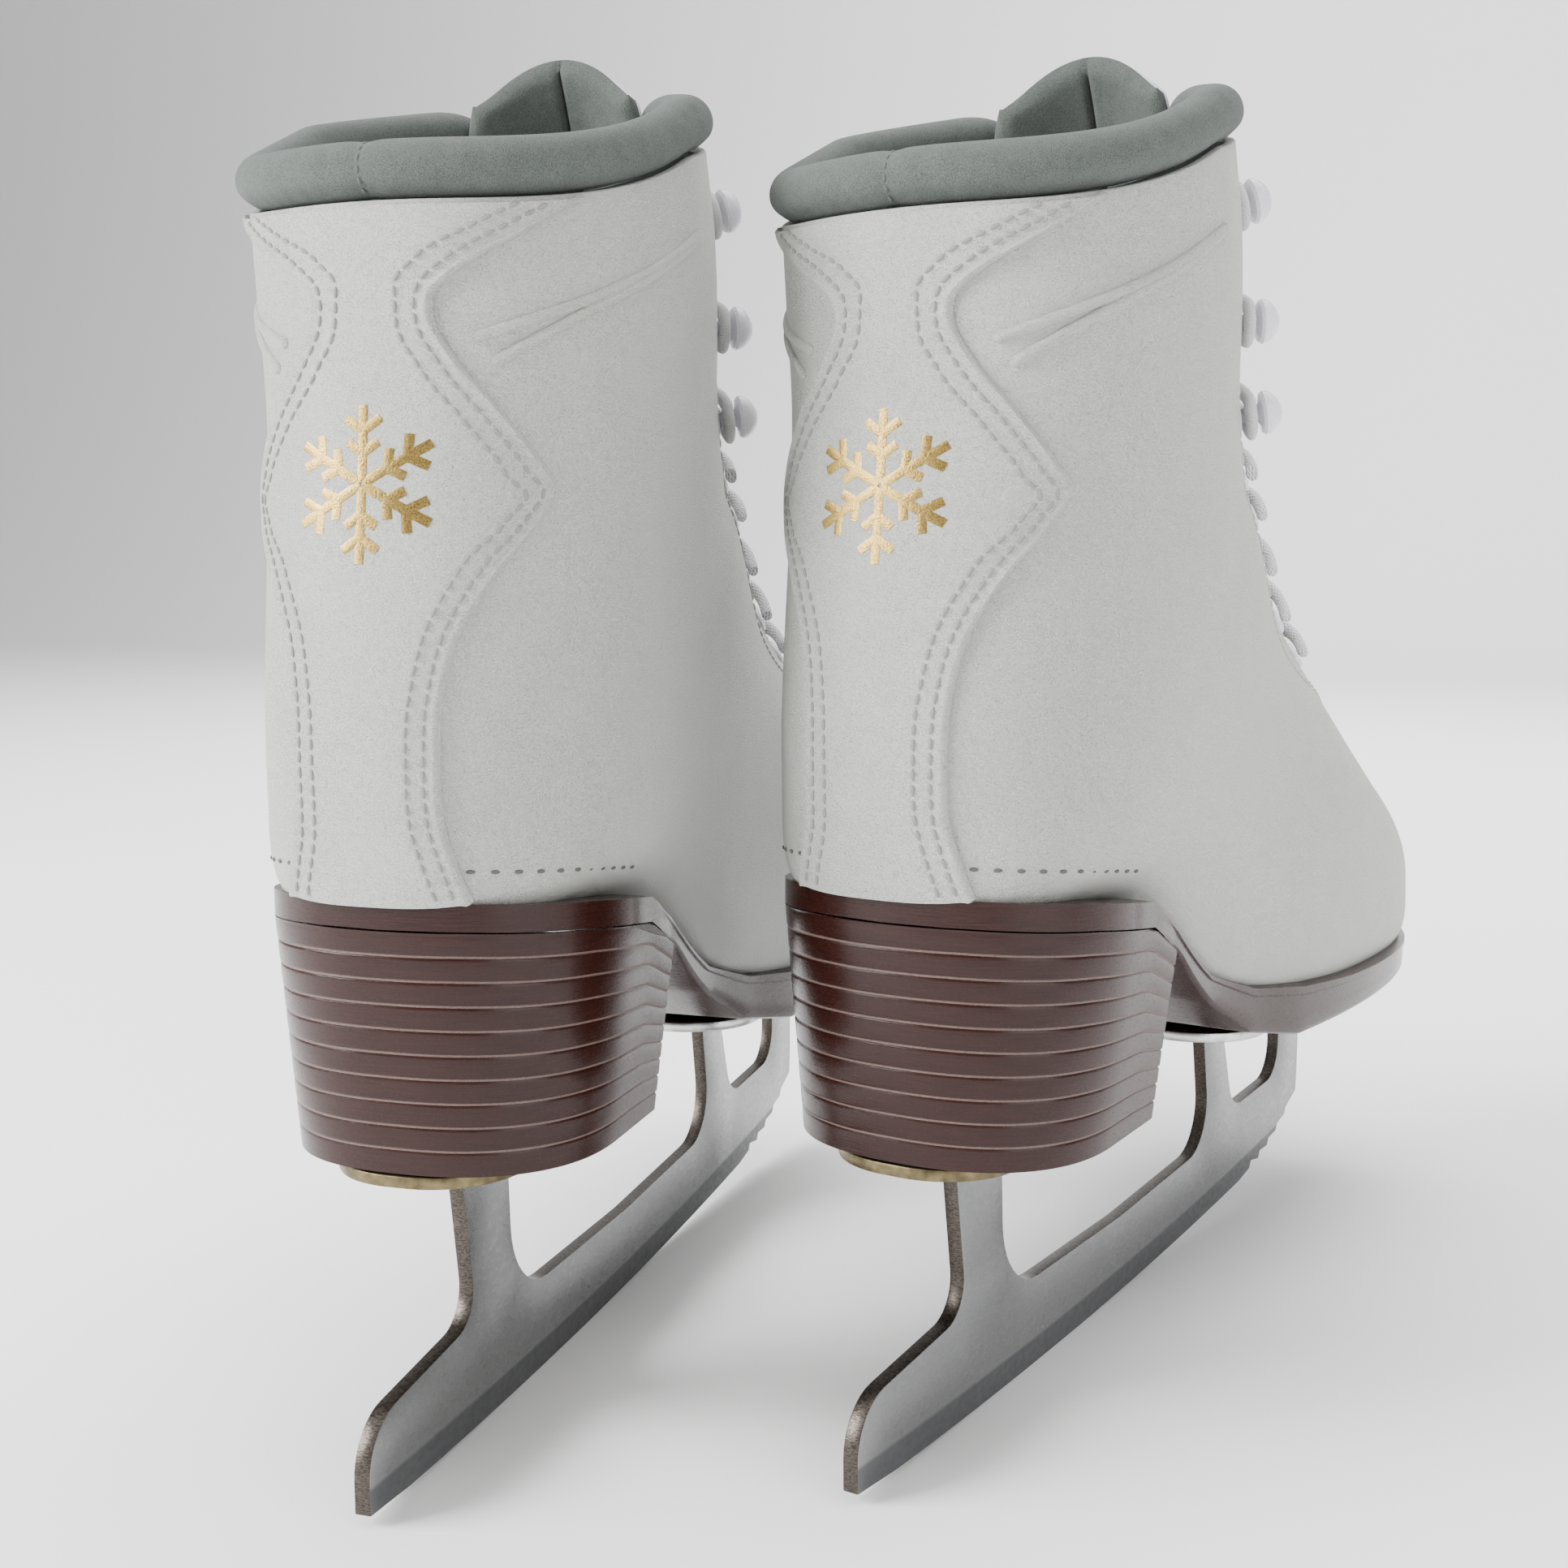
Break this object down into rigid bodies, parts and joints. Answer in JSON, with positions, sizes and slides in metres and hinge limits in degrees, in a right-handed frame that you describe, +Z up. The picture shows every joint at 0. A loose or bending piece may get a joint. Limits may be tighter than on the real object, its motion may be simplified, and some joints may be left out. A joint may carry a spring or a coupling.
{
  "type": "pair of figure skates",
  "caption": "Lace-up figure skates with padded collar, stacked heel and steel blade on screwed plates, standing side by side.",
  "frame": {"origin": "centre of the footprint, on the ice", "axes": "+Z up; +Y forward along the pair, each toe turned out a little; +X to the wearer's right"},
  "size_m": [0.2014, 0.3126, 0.2693],
  "materials": {
    "white_leather": "white, fine grain, slightly glossy",
    "grey_suede": "grey, matt nap",
    "fibre_board": "plain board",
    "brown_sole": "polished dark brown",
    "blade_steel": "brushed, dark ground edge",
    "plate_steel": "brushed",
    "bronze_plate": "dull bronze",
    "screw_steel": "bright",
    "hook_nylon": "white with a lilac cast",
    "white_lace": "woven"
  },
  "bodies": {
    "left_skate": {"left_back_stay": "white_leather", "left_blade": "blade_steel", "left_collar_pad": "grey_suede", "left_footbed": "grey_suede", "left_heel_block": "brown_sole", "left_heel_counter": "fibre_board", "left_heel_plate": "bronze_plate", "left_heel_screw_1": "screw_steel", "left_heel_screw_2": "screw_steel", "left_heel_screw_3": "screw_steel", "left_heel_screw_4": "screw_steel", "left_hook_inner_1": "hook_nylon", "left_hook_inner_2": "hook_nylon", "left_hook_inner_3": "hook_nylon", "left_hook_outer_1": "hook_nylon", "left_hook_outer_2": "hook_nylon", "left_hook_outer_3": "hook_nylon", "left_insole_board": "fibre_board", "left_lace": "white_lace", "left_lining": "grey_suede", "left_outsole": "brown_sole", "left_sole_plate": "plate_steel", "left_sole_screw_1": "screw_steel", "left_sole_screw_2": "screw_steel", "left_sole_screw_3": "screw_steel", "left_sole_screw_4": "screw_steel", "left_tongue": "grey_suede", "left_upper": "white_leather"},
    "left_flap": {"left_tongue_top": "grey_suede"},
    "right_skate": {"right_back_stay": "white_leather", "right_blade": "blade_steel", "right_collar_pad": "grey_suede", "right_footbed": "grey_suede", "right_heel_block": "brown_sole", "right_heel_counter": "fibre_board", "right_heel_plate": "bronze_plate", "right_heel_screw_1": "screw_steel", "right_heel_screw_2": "screw_steel", "right_heel_screw_3": "screw_steel", "right_heel_screw_4": "screw_steel", "right_hook_inner_1": "hook_nylon", "right_hook_inner_2": "hook_nylon", "right_hook_inner_3": "hook_nylon", "right_hook_outer_1": "hook_nylon", "right_hook_outer_2": "hook_nylon", "right_hook_outer_3": "hook_nylon", "right_insole_board": "fibre_board", "right_lace": "white_lace", "right_lining": "grey_suede", "right_outsole": "brown_sole", "right_sole_plate": "plate_steel", "right_sole_screw_1": "screw_steel", "right_sole_screw_2": "screw_steel", "right_sole_screw_3": "screw_steel", "right_sole_screw_4": "screw_steel", "right_tongue": "grey_suede", "right_upper": "white_leather"},
    "right_flap": {"right_tongue_top": "grey_suede"}
  },
  "joints": [
    {"name": "left_tongue_flex", "type": "hinge", "parent": "left_skate", "child": "left_flap", "pos_m": [-0.05458, -0.04301, 0.2525], "axis": [-0.9912, -0.1323, 0], "range_deg": [0, 25], "stiffness_Nm_per_rad": 0.05},
    {"name": "right_tongue_flex", "type": "hinge", "parent": "right_skate", "child": "right_flap", "pos_m": [0.04864, 0.00058, 0.2525], "axis": [-0.9912, 0.1323, 0], "range_deg": [0, 25], "stiffness_Nm_per_rad": 0.05},
    {"name": "pair_apart", "type": "slide", "parent": "left_skate", "child": "right_skate", "axis": [1, 0, 0], "range_m": [0, 0.15]}
  ]
}
